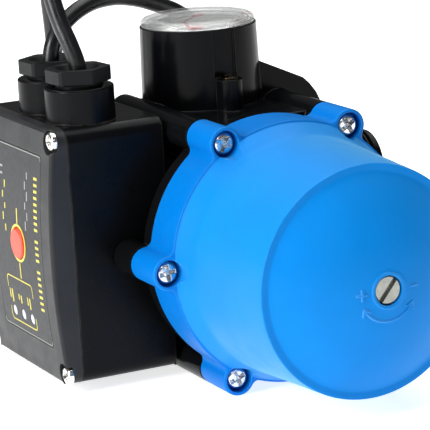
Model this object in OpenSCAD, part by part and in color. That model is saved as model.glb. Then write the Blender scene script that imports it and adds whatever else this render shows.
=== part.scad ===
// Automatic electronic controller for a water pump.
// A moulded pressure chamber lies with its spring bonnet forward (-Y). The gauge tower
// and both cable glands face up, the control box is on the left, the outlet on the right.
// Millimetres, +Z up, origin at the bottom centre of the controller without its leads.

/* [Bonnet] */
// Radius of the bonnet's clamping flange
flange_r = 53.2; // [50:0.1:53.6]
// Height of the clamping flange
flange_h = 22; // [14:0.5:24]
// Radius where the skirt leaves the flange's shoulder
neck_r = 48.4; // [46:0.1:49]
// Distance of that shoulder from the joint face
neck_h = 31.5; // [28:0.5:36]
// Radius of the front rim
rim_r = 45.6; // [43:0.1:46.5]
// Distance of the front rim from the joint face
rim_h = 82.5; // [78:0.5:84]
// Radius of the domed face inside the rim
face_r = 42.2; // [40:0.1:43]
// Distance of the dome's crown from the joint face
crown_h = 98; // [96:0.5:100]
// Wall thickness of the bonnet
bonnet_wall = 2.6; // [2:0.1:3.2]

/* [Screw bosses] */
// Number of bonnet screws
boss_count = 6; // [6:6]
// Pitch radius of the bonnet screws
boss_pitch_r = 55; // [54.5:0.1:55.5]
// Outer radius of a boss
boss_r = 6.8; // [6.4:0.1:7]
// Length of the black screw towers behind the joint
tower_len = 75; // [50:1:80]

/* [Chamber] */
// Outer radius of the pressure chamber
chamber_r = 45; // [43:0.5:46]
// Length of the chamber behind the joint
chamber_len = 88; // [84:1:92]
// Wall thickness of the chamber
chamber_wall = 4.5; // [3:0.5:6]
// Radius over the crests of the G1 pipe threads
thread_r = 16.62; // [16.62:0.01:16.62]
// Radius of the water ways
port_bore_r = 12.5; // [10:0.5:13]

/* [Control box] */
// Depth of the box from front to back
box_y = 84; // [80:1:88]
// Height of the box
box_z = 104.5; // [100:0.5:106]
// Thickness of the box tray
box_x = 42; // [38:1:44]
// Wall thickness of the box
box_wall = 2.5; // [2:0.1:3]
// Thickness of the lid at its top and bottom edges
lid_edge = 6; // [5:0.5:7]
// Extra thickness at the lid's crown
lid_crown = 4; // [2:0.5:5]

/* [Gauge] */
// Outer radius of the gauge tower
gauge_r = 24.4; // [23.5:0.1:25]
// Height of the tower's rim above the bonnet axis
gauge_rim_z = 84; // [80:1:86]
// Height of the clear cover above the rim
lens_h = 3.8; // [3.4:0.2:5]

/* [Leads] */
// Diameter of both leads
cord_d = 7; // [6.5:0.1:7.5]
// Mean radius of a put-away coil
coil_r = 40; // [38:1:42]

/* [Adjuster] */
// Radius of the adjusting screw
adjuster_r = 5.3; // [5:0.1:5.4]
// Width of the screwdriver slot
slot_w = 1.5; // [1.2:0.1:2]

/* [Hidden] */
$fn = 96;

fit_gap = 0.05;
free_gap = 0.3;
cut = 1;

// Placing of the bonnet axis in the part's frame
axis_x = 7;
axis_y = -7;
axis_z = boss_pitch_r * sin(60) + boss_r;
boss_angles = [for (i = [0 : boss_count - 1]) i * 360 / boss_count];

// Diaphragm and joint face
joint_half = 1;
bead_r = 47;
lip_r = 52;
diaphragm_bore = 4.06;
plate_r = 27;
washer_r = 18;
stem_r = 4;

// Bonnet screws
screw_r = 2.5;
screw_head_r = 4.2;
screw_head_h = 2.9;
screw_sink_r = 5.4;
screw_sink = 5;
boss_rise = 0.6;
boss_top = flange_h + boss_rise;
screw_tip_h = -14;

// Chamber
floor_h = -chamber_len;
outlet_y = 50;
outlet_z = 14;
outlet_root = 40;
outlet_collar = 55;
outlet_end = 75;
inlet_collar = 4;
inlet_len = 24;
port_collar_r = 21;
chamber_bore_r = 32;
flange_back = 7;
side_tower_len = 16;
web_w = 54;
web_top = 51;
shoulder_y = 62;
shoulder_len = 22;
shoulder_outline = [
    [18, 30], [18, 68.2], [40.5, 57.6], [43.4, 54.8], [46.4, 50.8], [48.3, 46.6],
    [48.3, 26], [40, 20]
];

// Gauge tower, drafted wider towards its foot
gauge_x = -0.7;
gauge_y = 54;
gauge_foot_z = 40;
gauge_draft = 1.1;
pocket_r = 22.4;
pocket_z = 62;
plug_col_r = 5.4;
plug_col_y = 26.5;
plug_col_z = 64;
plug_col_foot = 46;
groove_w = 9.8;
groove_deep = 1.8;
gauge_tap_r = 5;
lens_r = 24;
dial_z = 80.5;
pointer_rest = 225;

// Control box, with its inner wall against the chamber
box_in = -36;
box_out = box_in - box_x;
box_front = 17;
box_low = -50.5;
box_mid_y = box_front + box_y / 2;
box_mid_z = box_low + box_z / 2;
box_top = box_low + box_z;
box_corner = 6;
lid_out = box_out - lid_edge - lid_crown;
crown_r = pow(box_z / 2, 2) / (2 * lid_crown) + lid_crown / 2;
lid_screw_y = box_y / 2 - 3.3;
lid_screw_z = box_z / 2 - 4.2;
lid_notch_x = box_out - 4;
lid_shank_r = 1.5;
tray_boss_r = 4.6;
lid_wall = 2.6;
gasket_sunk = 1.6;
panel_mid_y = box_front + 36;
panel_mid_z = box_mid_z + 1.9;
panel_y = 52;
panel_z = 79;
panel_corner = 1.5;
panel_t = 0.5;
button_r = 6.5;
button_z = box_mid_z + 1.4;
led_mid_y = panel_mid_y + 3;
led_z = -28;
led_pitch = 9.6;
led_r = 2.2;
board_x = -68;
board_t = 1.6;
board_deep = board_x - board_t - lid_out;
button_deep = board_deep - 5.7;

// Cable glands
gland_x = -63.4;
gland_y = [36, 64.8];
gland_collar_r = 14.1;
gland_collar_z = 68;
gland_nut_r = 13.7;
gland_nut_low = 69.6;
gland_nut_top = 75.6;
gland_thread_r = 9.6;
gland_turn = -25;
gland_top = 60;

// Spring and adjuster
spring_low = joint_half + free_gap + 2.1;
seat_h = 62;
seat_t = 3;
seat_r = 24;
spring_mean_r = 17;
spring_wire_r = 1.9;
spring_turns = 7;
guide_w = 4;
guide_slot = 4.8;
collar_h = 75;
adjuster_ring_r = 7.1;
adjuster_play = 0.5;

// Raised marks on the dome
mark_w = 0.8;
mark_arc_r = 12;
mark_end = 30;
mark_raise = 0.45;
plus_at = [-11, -0.4];
plus_len = 4.6;
minus_at = [11.2, 0.2];
minus_len = 3.6;
barb_len = 3.2;

// Check valve
valve_face_h = floor_h + chamber_wall;
valve_r = 17;
valve_stem_r = 3;
magnet_gap = 0.02;
guide_h = -60;
guide_t = 4;

// Leads: hand-set route points in the part's frame
lay_z = 3.6;
coil_base = 0.8;
coil_section = 2 * cord_d;
supply_coil_at = [5, 158];
pump_coil_at = [100, 59.5];
supply_route = [
    [-56.4, 29, 124], [-56.4, 29, 130], [-58, 31, 138], [-60, 35, 147],
    [-61.4, 38.8, 157.5], [-62, 42.8, 169.5], [-61, 49.6, 181.5], [-57.8, 60, 189],
    [-53, 72.5, 191.4], [-48, 85, 188.2], [-43.5, 94.8, 179], [-40, 100, 166],
    [-37.6, 102, 147], [-36, 103.5, 124], [-35.5, 104.5, 94], [-35.5, 105, 64],
    [-35.7, 106, 42], [-36.4, 110, 25], [-37.2, 119, 11.8], [-38, 132, 5],
    [-38.5, 145, lay_z], [-38.5, 150, lay_z]
];
supply_tail = [
    [7, 201.5, 10.6], [18, 201.5, 10.4], [29, 201.4, 8.2], [38, 201.4, 6], [47, 200.8, 5.4],
    [56, 198, 6.6], [64, 192.6, 9.4], [70.2, 185.4, 13], [73.8, 177.4, 16.2],
    [75, 169, 18.5]
];
pump_route = [
    [-56.4, 57.8, 124], [-56.1, 57.8, 130], [-54.3, 58.2, 136], [-50.5, 59, 141.3],
    [-44.8, 60.7, 145.6], [-37, 63.3, 148.8], [-26.5, 67.2, 150.2], [-13, 73, 148.6],
    [1, 78, 144], [15, 83, 137.5], [27, 88, 127.5], [37, 93, 114.5], [43.5, 97, 98.5],
    [46.7, 100, 80], [48, 102, 62], [49.2, 103, 47], [52.2, 103, 33], [57.5, 103, 20.5],
    [66, 103, 10.5], [77, 103, 5.2], [89, 103, lay_z], [92, 103, lay_z]
];
pump_tail = [
    [143.5, 57.5, 10.6], [143.5, 46.5, 10.4], [143.5, 35.5, 8.2], [143.1, 25.5, 5.6],
    [142.2, 17, 4.9], [140.7, 8, 6.2], [138.9, -1, 9.6], [137.2, -10, 13.8],
    [135.9, -19, 17.4], [135.2, -28, 19.5], [135, -36, 20]
];
tie_w = 5;
relief_len = 16;
pin_r = 2.4;
pin_len = 17;
pin_offset = 9.5;
plug_r = 18.5;
plug_len = 42;
plug_at = [75, 169, plug_r];
socket_r = 20;
socket_len = 58;
socket_at = [135, -36, socket_r];

// Frames: +h runs forward, left, right or back; the second sketch axis is up
module place() {
    translate([axis_x, axis_y, axis_z]) children();
}
module forward() {
    rotate([90, 0, 0]) children();
}
module leftward() {
    rotate([90, 0, -90]) children();
}
module rightward() {
    rotate([90, 0, 90]) children();
}
module backward() {
    rotate([90, 0, 180]) children();
}
module at_bosses() {
    for (a = boss_angles) rotate(a) translate([boss_pitch_r, 0, 0]) children();
}

// Ring or tube on the sketch plane
module ring(outer, inner, low, high) {
    difference() {
        translate([0, 0, low]) cylinder(r = outer, h = high - low);
        translate([0, 0, low - cut]) cylinder(r = inner, h = high - low + 2 * cut);
    }
}

// Rectangle with round corners
module soft_rect(w, h, r) {
    square([w - 2 * r, h], center = true);
    square([w, h - 2 * r], center = true);
    for (sx = [-1, 1], sy = [-1, 1])
        translate([sx * (w / 2 - r), sy * (h / 2 - r)]) circle(r = r, $fn = 48);
}

// Round-wire sweep through a list of points
function unit(v) = v / norm(v);
function heading(p, i) = unit(p[min(i + 1, len(p) - 1)] - p[max(i - 1, 0)]);
function side_of(d) = unit(cross(d, abs(d[2]) > 0.9 ? [0, 1, 0] : [0, 0, 1]));
function carried(v, d) = unit(v - d * (v * d));
function sides(p, i = 0, last = undef, out = []) =
    i == len(p) ? out :
    let (d = heading(p, i), v = i == 0 ? side_of(d) : carried(last, d))
    sides(p, i + 1, v, concat(out, [v]));
module sweep(p, r, n) {
    s = sides(p);
    rings = [
        for (i = [0 : len(p) - 1], k = [0 : n - 1])
            let (d = heading(p, i), u = s[i], w = cross(d, u), a = 360 * k / n)
            p[i] + r * (cos(a) * u + sin(a) * w)
    ];
    walls = [
        for (i = [0 : len(p) - 2], k = [0 : n - 1])
            let (a = i * n + k, b = i * n + (k + 1) % n)
            [a, a + n, b + n, b]
    ];
    first = [for (k = [0 : n - 1]) k];
    end = [for (k = [0 : n - 1]) len(p) * n - 1 - k];
    polyhedron(rings, concat([first], walls, [end]), convexity = 8);
}

// Compression spring along h
module coil_spring(mean_r, wire_r, turns, low, high) {
    steps = 16;
    total = turns * steps;
    sweep(
        [
            for (i = [0 : total])
                let (a = 360 * i / steps, t = i / total)
                [
                    mean_r * cos(a),
                    mean_r * sin(a),
                    low + wire_r + (high - low - 2 * wire_r) * t
                ]
        ],
        wire_r, 8
    );
}

// Cross-recess pan-head screw, head up from h = 0
module cross_screw(shank_r, head_r, head_h, length) {
    difference() {
        union() {
            translate([0, 0, -length]) cylinder(r = shank_r, h = length + 0.1, $fn = 40);
            intersection() {
                cylinder(r = head_r, h = head_h, $fn = 48);
                translate([0, 0, head_h - 2 * head_r]) sphere(r = 2 * head_r, $fn = 64);
            }
        }
        for (a = [0, 90]) rotate(a) translate([-head_r * 0.55, -0.5, head_h * 0.35])
            cube([head_r * 1.1, 1, head_h]);
    }
}

// Pressure chamber with its flange, screw towers, gauge tower and ports
function tower_at(a) = abs(sin(a)) < 0.5 ? side_tower_len : tower_len;
module chamber_solid() {
    forward() {
        translate([0, 0, floor_h]) cylinder(r = chamber_r, h = chamber_len - joint_half);
        translate([0, 0, -flange_back])
            cylinder(r = flange_r - 0.6, h = flange_back - joint_half);
        ring(flange_r - 0.6, lip_r, -joint_half - 0.5, 0);
        for (a = boss_angles) rotate(a) translate([0, 0, -tower_at(a)]) {
            translate([boss_pitch_r, 0, 0])
                cylinder(r = boss_r, h = tower_at(a), $fn = 64);
            translate([chamber_r - 3, -3, 0]) cube([8, 6, tower_at(a) - joint_half]);
        }
    }
    backward() {
        translate([0, 0, chamber_len - cut])
            cylinder(r = port_collar_r, h = inlet_collar + cut, $fn = 6);
        translate([0, 0, chamber_len]) cylinder(r = thread_r, h = inlet_len);
    }
    translate([0, outlet_y, outlet_z]) rightward() translate([0, 0, outlet_root]) {
        cylinder(r = port_collar_r, h = outlet_collar - outlet_root);
        cylinder(r = thread_r, h = outlet_end - outlet_root);
    }
    translate([-web_w / 2, 3, web_top - 15]) cube([web_w, 69, 15]);
    translate([gauge_x, gauge_y, gauge_foot_z])
        cylinder(r1 = gauge_r + gauge_draft, r2 = gauge_r, h = gauge_rim_z - gauge_foot_z);
    translate([gauge_x, plug_col_y, plug_col_foot])
        cylinder(r = plug_col_r, h = plug_col_z - plug_col_foot, $fn = 48);
    translate([0, shoulder_y, 0]) forward() linear_extrude(height = shoulder_len)
        polygon(shoulder_outline);
}
module main_body() {
    color("#1b1d20") place() difference() {
        chamber_solid();
        forward() {
            translate([0, 0, valve_face_h]) cylinder(r = chamber_bore_r, h = chamber_len);
            translate([0, 0, -flange_back + 2]) cylinder(r = bead_r, h = 20);
            at_bosses() translate([0, 0, screw_tip_h - cut])
                cylinder(r = screw_r + fit_gap, h = 40, $fn = 40);
        }
        backward() translate([0, 0, 60]) cylinder(r = port_bore_r, h = 80);
        translate([0, outlet_y, outlet_z]) rightward()
            translate([0, 0, 20]) cylinder(r = port_bore_r, h = 80);
        translate([gauge_x, gauge_y, pocket_z]) cylinder(r = pocket_r, h = 40);
        translate([gauge_x, gauge_y, 20]) cylinder(r = gauge_tap_r, h = 60, $fn = 48);
        translate([gauge_x - groove_w / 2, gauge_y - gauge_r - 4, plug_col_z])
            cube([groove_w, 4 + groove_deep, 40]);
        translate([gauge_x, plug_col_y, plug_col_z - 8]) cylinder(r = 2.05, h = 20, $fn = 32);
        translate([box_in - 30, box_front - 0.3, box_low - 2])
            cube([30, box_y + 4, box_z + 4]);
        at_box_fixings() translate([0, 0, -7.5]) cylinder(r = 1.75, h = 12, $fn = 32);
    }
}

// Control box tray, open to the left, with two gland collars on top
module box_block(low, high, shrink) {
    translate([0, box_mid_y, box_mid_z]) leftward() translate([0, 0, low])
        linear_extrude(height = high - low)
        soft_rect(box_y - 2 * shrink, box_z - 2 * shrink, box_corner - min(shrink, 2));
}
module at_lid_screws() {
    for (sy = [-1, 1], sz = [-1, 1])
        translate([0, box_mid_y + sy * lid_screw_y, box_mid_z + sz * lid_screw_z])
            leftward() children();
}
module at_box_fixings() {
    for (z = [-20, 22]) translate([box_in, box_mid_y, box_mid_z + z]) leftward() children();
}
module at_glands() {
    for (y = gland_y) translate([gland_x, y, 0]) children();
}
module control_box() {
    color("#1e2023") place() difference() {
        union() {
            difference() {
                box_block(-box_in, -box_out, 0);
                box_block(-box_in + box_wall, -box_out + cut, box_wall);
            }
            intersection() {
                at_lid_screws() translate([0, 0, -box_in]) cylinder(r = tray_boss_r, h = box_x, $fn = 40);
                box_block(-box_in, -box_out, 0);
            }
            at_glands() translate([0, 0, box_top - cut])
                cylinder(r = gland_collar_r, h = gland_collar_z - box_top + cut);
        }
        at_lid_screws() translate([0, 0, -box_out - 14])
            cylinder(r = lid_shank_r + fit_gap, h = 30, $fn = 32);
        at_glands() translate([0, 0, box_top - 6])
            cylinder(r = gland_thread_r + fit_gap, h = 40);
        at_box_fixings() translate([0, 0, -cut]) cylinder(r = 1.75, h = 8, $fn = 32);
        gasket_loop(gasket_sunk + cut);
    }
}
module box_fixing_screws() {
    color("#c9ccd0") place() at_box_fixings() translate([0, 0, box_wall])
        cross_screw(1.7, 3.4, 2.4, 8);
}

// Crowned lid, with open corner notches for its screws and a shallow panel recess
module crown(drop) {
    translate([lid_out + drop + crown_r, box_mid_y, box_mid_z]) backward()
        cylinder(r = crown_r, h = 300, center = true, $fn = 360);
}
module at_led_windows() {
    for (i = [-1 : 1]) translate([lid_out, led_mid_y + i * led_pitch, led_z])
        leftward() children();
}
module at_button() {
    translate([lid_out, panel_mid_y, button_z]) leftward() children();
}
// Curved sheet that follows the lid's crown
module panel_sheet(grow, top, bottom) {
    intersection() {
        translate([0, panel_mid_y, panel_mid_z]) leftward() linear_extrude(height = 200)
            soft_rect(panel_y + 2 * grow, panel_z + 2 * grow, panel_corner + grow);
        difference() {
            crown(top);
            crown(bottom);
        }
    }
}
module box_lid() {
    color("#6c6e70") place() difference() {
        intersection() {
            box_block(-box_out, -lid_out + cut, 0);
            crown(0);
        }
        difference() {
            intersection() {
                box_block(-box_out - cut, -lid_out - 2, box_wall);
                crown(lid_wall);
            }
            at_lid_screws() translate([0, 0, -box_out - 2]) cylinder(r = 6.6, h = 20, $fn = 48);
        }
        at_lid_screws() {
            translate([0, 0, -lid_notch_x]) cylinder(r = 5.2, h = 20, $fn = 48);
            translate([0, 0, -box_out - cut]) cylinder(r = lid_shank_r + 0.2, h = 20, $fn = 32);
        }
        panel_sheet(0.2, -3, panel_t);
        at_led_windows() cylinder(r = led_r + fit_gap, h = 20, center = true, $fn = 40);
        at_button() cylinder(r = button_r + free_gap, h = 20, center = true);
    }
}
module gasket_loop(height) {
    translate([0, box_mid_y, box_mid_z]) leftward()
        translate([0, 0, -box_out - gasket_sunk]) linear_extrude(height = height)
        difference() {
            soft_rect(box_y - 1.2, box_z - 1.2, box_corner - 0.6);
            soft_rect(box_y - 3.8, box_z - 3.8, box_corner - 1.9);
        }
}
module lid_gasket() {
    color("#2c2c2e") place() difference() {
        gasket_loop(gasket_sunk);
        at_lid_screws() translate([0, 0, -box_out - 10])
            cylinder(r = lid_shank_r + 0.25, h = 20, $fn = 32);
    }
}
module lid_screws() {
    color("#c9ccd0") place() at_lid_screws() translate([0, 0, -lid_notch_x])
        cross_screw(lid_shank_r, 3.9, 2.6, 14);
}
module overlay_panel() {
    color("#85878a") place() difference() {
        panel_sheet(0, 0, panel_t);
        at_led_windows() cylinder(r = led_r + fit_gap, h = 20, center = true, $fn = 40);
        at_button() cylinder(r = button_r + free_gap, h = 20, center = true);
    }
}
module restart_button() {
    color("#ff6f52") place() at_button() {
        translate([0, 0, -5]) cylinder(r = button_r, h = 6);
        translate([0, 0, -6.4]) cylinder(r = button_r + 1.4, h = 1.5);
        translate([0, 0, -button_deep]) cylinder(r = 2, h = button_deep - 6, $fn = 40);
    }
}

// Electronics inside the box
module tact_switch() {
    color("#33363a") place() at_button() {
        translate([-3, -3, -board_deep]) cube([6, 6, 3.6]);
        translate([0, 0, -board_deep + 3]) cylinder(r = 1.6, h = 1.4, $fn = 32);
    }
}
module circuit_board() {
    color("#2f6b3c") place() translate([0, box_mid_y, box_mid_z]) leftward()
        translate([0, 0, -board_x]) linear_extrude(height = board_t) difference() {
            soft_rect(box_y - 8, box_z - 8, 3);
            for (sy = [-1, 1], sz = [-1, 1])
                translate([sy * lid_screw_y, sz * lid_screw_z]) circle(r = 6.5);
        }
}
module status_leds() {
    color("#e8e8d8") place() at_led_windows() {
        translate([0, 0, -board_deep]) cylinder(r = 1.9, h = 1, $fn = 32);
        translate([0, 0, -board_deep]) cylinder(r = 1.5, h = 6, $fn = 32);
        translate([0, 0, -board_deep + 6]) sphere(r = 1.5, $fn = 32);
    }
}
module led_windows() {
    color("#e9ece8") place() intersection() {
        at_led_windows() cylinder(r = led_r, h = 20, center = true, $fn = 40);
        difference() {
            crown(0.15);
            crown(lid_wall);
        }
    }
}
module behind_board(y, z) {
    translate([board_x, box_mid_y + y, box_mid_z + z]) rightward() children();
}
module relay() {
    color("#2f6fb0") place() behind_board(-16, 16) {
        translate([-7.8, -9.5, 0]) cube([15.6, 19, 15]);
    }
}
module capacitor() {
    color("#d8b23a") place() behind_board(14, 14) {
        translate([-4.5, -13, 0]) cube([9, 26, 16]);
    }
}
module terminal_block() {
    color("#3f8f4f") place() difference() {
        behind_board(0, -28) translate([-22, -6, 0]) cube([44, 12, 14]);
        for (i = [-2 : 2]) behind_board(i * 8.4, -28) translate([0, 0, 6])
            cylinder(r = 2.4, h = 10, $fn = 32);
    }
}
module flow_sensor() {
    color("#2f6b3c") place() translate([box_in - box_wall - 1.6, box_mid_y + 8, box_mid_z - 14]) {
        cube([1.6, 24, 12]);
        translate([-2.6, 4, 4]) cube([2.7, 15, 3]);
    }
}

// Cable glands
module gland_nuts() {
    color("#17181a") place() at_glands() difference() {
        union() {
            intersection() {
                translate([0, 0, gland_nut_low]) rotate(gland_turn)
                    cylinder(r = gland_nut_r, h = gland_nut_top - gland_nut_low, $fn = 6);
                translate([0, 0, gland_nut_low]) cylinder(r = gland_nut_r - 0.5, h = 20);
            }
            translate([0, 0, gland_top])
                cylinder(r = gland_thread_r, h = gland_nut_low - gland_top + cut);
        }
        translate([0, 0, gland_top - cut]) cylinder(r = 6.2, h = 30, $fn = 64);
        translate([0, 0, gland_nut_top - 3]) cylinder(r1 = 6.2, r2 = 9.2, h = 3.01, $fn = 64);
    }
}
module gland_seals() {
    color("#2a2a2c") place() at_glands() ring(6.15, cord_d / 2, gland_top, gland_nut_top - 4);
}

// Blue spring bonnet: outside wound by its outline, inside by a parallel one
function dome_h(r) =
    let (d = crown_h - rim_h, s = (face_r * face_r + d * d) / (2 * d))
    crown_h - s + sqrt(s * s - r * r);
module bonnet_skin() {
    rotate_extrude($fn = 180) polygon(concat(
        [
            [0, joint_half], [flange_r - 0.4, joint_half], [flange_r, joint_half + 0.4],
            [flange_r, flange_h - 0.6], [flange_r - 0.6, flange_h], [neck_r + 0.6, neck_h - 1.6],
            [neck_r, neck_h], [rim_r, rim_h - 0.5], [rim_r - 0.4, rim_h]
        ],
        [for (i = [0 : 12]) let (r = face_r * cos(i * 7.5)) [r, dome_h(r)]]
    ));
}
module bonnet_hollow() {
    w = bonnet_wall;
    rotate_extrude($fn = 120) polygon(concat(
        [
            [0, 0], [bead_r, 0], [bead_r, flange_h - 3], [neck_r - w - 1, neck_h],
            [rim_r - w, rim_h - 2 * w]
        ],
        [for (i = [1 : 9]) let (r = (face_r - w) * cos(i * 10)) [r, dome_h(r) - w - 0.4]]
    ));
}
module bonnet() {
    color("#0091f2") place() forward() difference() {
        union() {
            difference() {
                union() {
                    bonnet_skin();
                    ring(flange_r, lip_r, 0, joint_half + 0.5);
                    at_bosses() cylinder(r = boss_r, h = boss_top, $fn = 64);
                }
                bonnet_hollow();
            }
            translate([0, 0, collar_h + 2.3]) cylinder(r = 9, h = crown_h - collar_h - 5);
            for (a = [0, 180]) rotate(a) translate([seat_r - 3, -guide_w / 2, 42])
                cube([rim_r - seat_r + 2, guide_w, 38]);
            translate([0, 0, crown_h - 3]) cylinder(r = adjuster_ring_r, h = 3);
            embossed_marks();
        }
        at_bosses() {
            translate([0, 0, -cut]) cylinder(r = screw_r + fit_gap, h = 40, $fn = 40);
            translate([0, 0, boss_top - screw_sink]) cylinder(r = screw_sink_r, h = 10, $fn = 48);
        }
        cylinder(r = adjuster_r + fit_gap, h = 120);
        translate([0, 0, crown_h - 4]) cylinder(r = adjuster_r + adjuster_play, h = 10);
    }
}
// Plus, minus and double-headed arrow around the adjuster, raised from the dome
module mark_bar(length) {
    square([length, mark_w], center = true);
}
module embossed_marks() {
    intersection() {
        translate([0, 0, crown_h - 8]) linear_extrude(height = 12) {
            for (a = [0, 90]) translate(plus_at) rotate(a) mark_bar(plus_len);
            translate(minus_at) mark_bar(minus_len);
            difference() {
                circle(r = mark_arc_r + mark_w / 2);
                circle(r = mark_arc_r - mark_w / 2);
                translate([-20, -mark_arc_r * sin(mark_end)]) square([40, 40]);
            }
            for (s = [-1, 1]) scale([s, 1]) rotate(-mark_end) translate([mark_arc_r, 0])
                for (a = [55, 125]) rotate(a - 180) translate([1.4, 0]) mark_bar(barb_len);
        }
        translate([0, 0, mark_raise]) bonnet_skin();
    }
}
module bonnet_screws() {
    color("#c9ccd0") place() forward() at_bosses() translate([0, 0, boss_top - screw_sink])
        cross_screw(screw_r, screw_head_r, screw_head_h, boss_top - screw_sink - screw_tip_h);
}

// Adjuster: slotted screw, held by its collar, drives the keyed spring seat
module adjusting_screw() {
    color("#b9bcc0") place() forward() difference() {
        union() {
            translate([0, 0, 44]) cylinder(r = adjuster_r, h = crown_h - 1 - 44);
            translate([0, 0, collar_h - 1]) cylinder(r = 8, h = 3);
        }
        translate([0, 0, crown_h - 3]) rotate(50)
            translate([-adjuster_r - 1, -slot_w / 2, 0]) cube([2 * adjuster_r + 2, slot_w, 5]);
        translate([0, 0, crown_h - 9]) ring(adjuster_r + 1, adjuster_r - 0.9, 0, 1.9);
    }
}
module adjuster_seal() {
    color("#2a2a2c") place() forward() translate([0, 0, crown_h - 8.9])
        ring(adjuster_r + 0.03, adjuster_r - 0.87, 0, 1.7);
}
module spring_seat() {
    color("#c3c6ca") place() forward() difference() {
        union() {
            translate([0, 0, seat_h]) cylinder(r = seat_r, h = seat_t);
            translate([0, 0, seat_h - 4]) cylinder(r = 13.5, h = 5);
        }
        cylinder(r = adjuster_r + fit_gap, h = 120);
        for (a = [0, 180]) rotate(a) translate([seat_r - 3.6, -guide_slot / 2, 0])
            cube([20, guide_slot, 100]);
    }
}
module main_spring() {
    color("#9da1a6") place() forward()
        coil_spring(spring_mean_r, spring_wire_r, spring_turns, spring_low, seat_h - 0.1);
}

// Diaphragm stack
module diaphragm() {
    color("#26272a") place() forward() difference() {
        rotate_extrude($fn = 120) polygon([
            [diaphragm_bore, -joint_half], [29, -joint_half], [33, 2.5], [38, 5.5], [43, 2.5],
            [46, -joint_half], [lip_r - 0.1, -joint_half], [lip_r - 0.1, joint_half],
            [45.6, joint_half], [43.6, 5], [38, 8.5], [32.4, 5], [28.6, joint_half],
            [diaphragm_bore, joint_half]
        ]);
        at_bosses() translate([0, 0, -5]) cylinder(r = boss_r + 0.1, h = 20, $fn = 64);
    }
}
module diaphragm_plate() {
    color("#c3c6ca") place() forward() {
        translate([0, 0, joint_half + free_gap]) cylinder(r = plate_r, h = 2);
        ring(plate_r, plate_r - 2, joint_half + free_gap, 7.5);
        translate([0, 0, -12]) cylinder(r = stem_r, h = 14, $fn = 48);
    }
}
module diaphragm_washer() {
    color("#c3c6ca") place() forward() ring(washer_r, stem_r + fit_gap, -3.3, -joint_half - free_gap);
}
module diaphragm_nut() {
    color("#b9bcc0") place() forward() difference() {
        translate([0, 0, -8.5]) cylinder(r = 7.5, h = 5.1, $fn = 6);
        translate([0, 0, -12]) cylinder(r = stem_r + fit_gap, h = 20, $fn = 48);
    }
}

// Check valve that opens into the chamber when water flows
module valve_guide() {
    color("#d9dbd6") place() forward() difference() {
        union() {
            ring(chamber_bore_r - fit_gap, chamber_bore_r - 4, guide_h, guide_h + guide_t);
            translate([0, 0, guide_h]) cylinder(r = 7, h = guide_t + 6);
            for (a = [30, 150, 270]) rotate(a) translate([0, -2, guide_h])
                cube([chamber_bore_r - 2, 4, guide_t]);
        }
        translate([0, 0, guide_h - cut]) cylinder(r = valve_stem_r + fit_gap, h = 20, $fn = 48);
    }
}
module check_valve() {
    color("#d9dbd6") place() forward() {
        translate([0, 0, valve_face_h + 1.6]) cylinder(r = valve_r, h = 2.4);
        translate([0, 0, valve_face_h + 1.6]) cylinder(r = valve_stem_r, h = 44, $fn = 48);
    }
}
module valve_seal() {
    color("#2a2a2c") place() forward()
        ring(valve_r - 0.5, 10, valve_face_h + 0.3, valve_face_h + 1.6);
}
module valve_magnet() {
    color("#6e7175") place() forward() difference() {
        translate([0, 0, valve_face_h + 34]) cylinder(r = 6, h = 8);
        translate([0, 0, valve_face_h]) cylinder(r = valve_stem_r + magnet_gap, h = 60, $fn = 48);
    }
}
module valve_spring() {
    color("#9da1a6") place() forward()
        coil_spring(9.5, 0.6, 5, valve_face_h + 4.1, guide_h - 0.1);
}

// Pressure gauge in its tower
module gauge_case() {
    color("#17181a") place() translate([gauge_x, gauge_y, 0]) difference() {
        translate([0, 0, pocket_z + 0.1])
            cylinder(r = pocket_r - fit_gap, h = gauge_rim_z - pocket_z - 0.2);
        translate([0, 0, dial_z - 9]) cylinder(r = pocket_r - 1.5, h = 40);
        translate([0, 0, pocket_z - cut]) cylinder(r = 4.1, h = 20, $fn = 48);
    }
}
module gauge_stem() {
    color("#c9a24a") place() translate([gauge_x, gauge_y, 0]) {
        translate([0, 0, 34]) cylinder(r = gauge_tap_r - fit_gap, h = pocket_z - 34, $fn = 48);
        translate([0, 0, pocket_z - 0.5]) cylinder(r = 4.05, h = 12, $fn = 48);
        translate([-9, -6, dial_z - 8.5]) cube([18, 12, 6]);
    }
}
module gauge_dial() {
    color("white") place() translate([gauge_x, gauge_y, 0])
        ring(pocket_r - 1.6, 1.5, dial_z, dial_z + 0.8);
}
module gauge_pointer() {
    color("#d02018") place() translate([gauge_x, gauge_y, 0]) {
        translate([0, 0, dial_z - 2]) cylinder(r = 1, h = 4.2, $fn = 32);
        translate([0, 0, dial_z + 1.2]) cylinder(r = 2.6, h = 1, $fn = 48);
        translate([0, 0, dial_z + 1.2]) linear_extrude(height = 0.6) rotate(pointer_rest)
            polygon([[-6, -1.1], [-6, 1.1], [0, 0.9], [17, 0.25], [17, -0.25], [0, -0.9]]);
    }
}
module gauge_lens() {
    color([0.9, 0.95, 1, 0.35]) place() translate([gauge_x, gauge_y, gauge_rim_z]) rotate_extrude()
        polygon([
            [0, lens_h], [lens_r - 3.2, lens_h], [lens_r - 1.5, lens_h - 0.5],
            [lens_r - 0.4, lens_h - 1.5], [lens_r, lens_h - 2.8], [lens_r, 0],
            [lens_r - 2, 0], [lens_r - 2.4, lens_h - 2.2], [lens_r - 3.4, lens_h - 1.6],
            [0, lens_h - 1.6]
        ]);
}
module gauge_screw() {
    color("#c9a24a") place() translate([gauge_x, plug_col_y, plug_col_z])
        cross_screw(2, 3.4, 1.6, 7);
}

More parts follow.
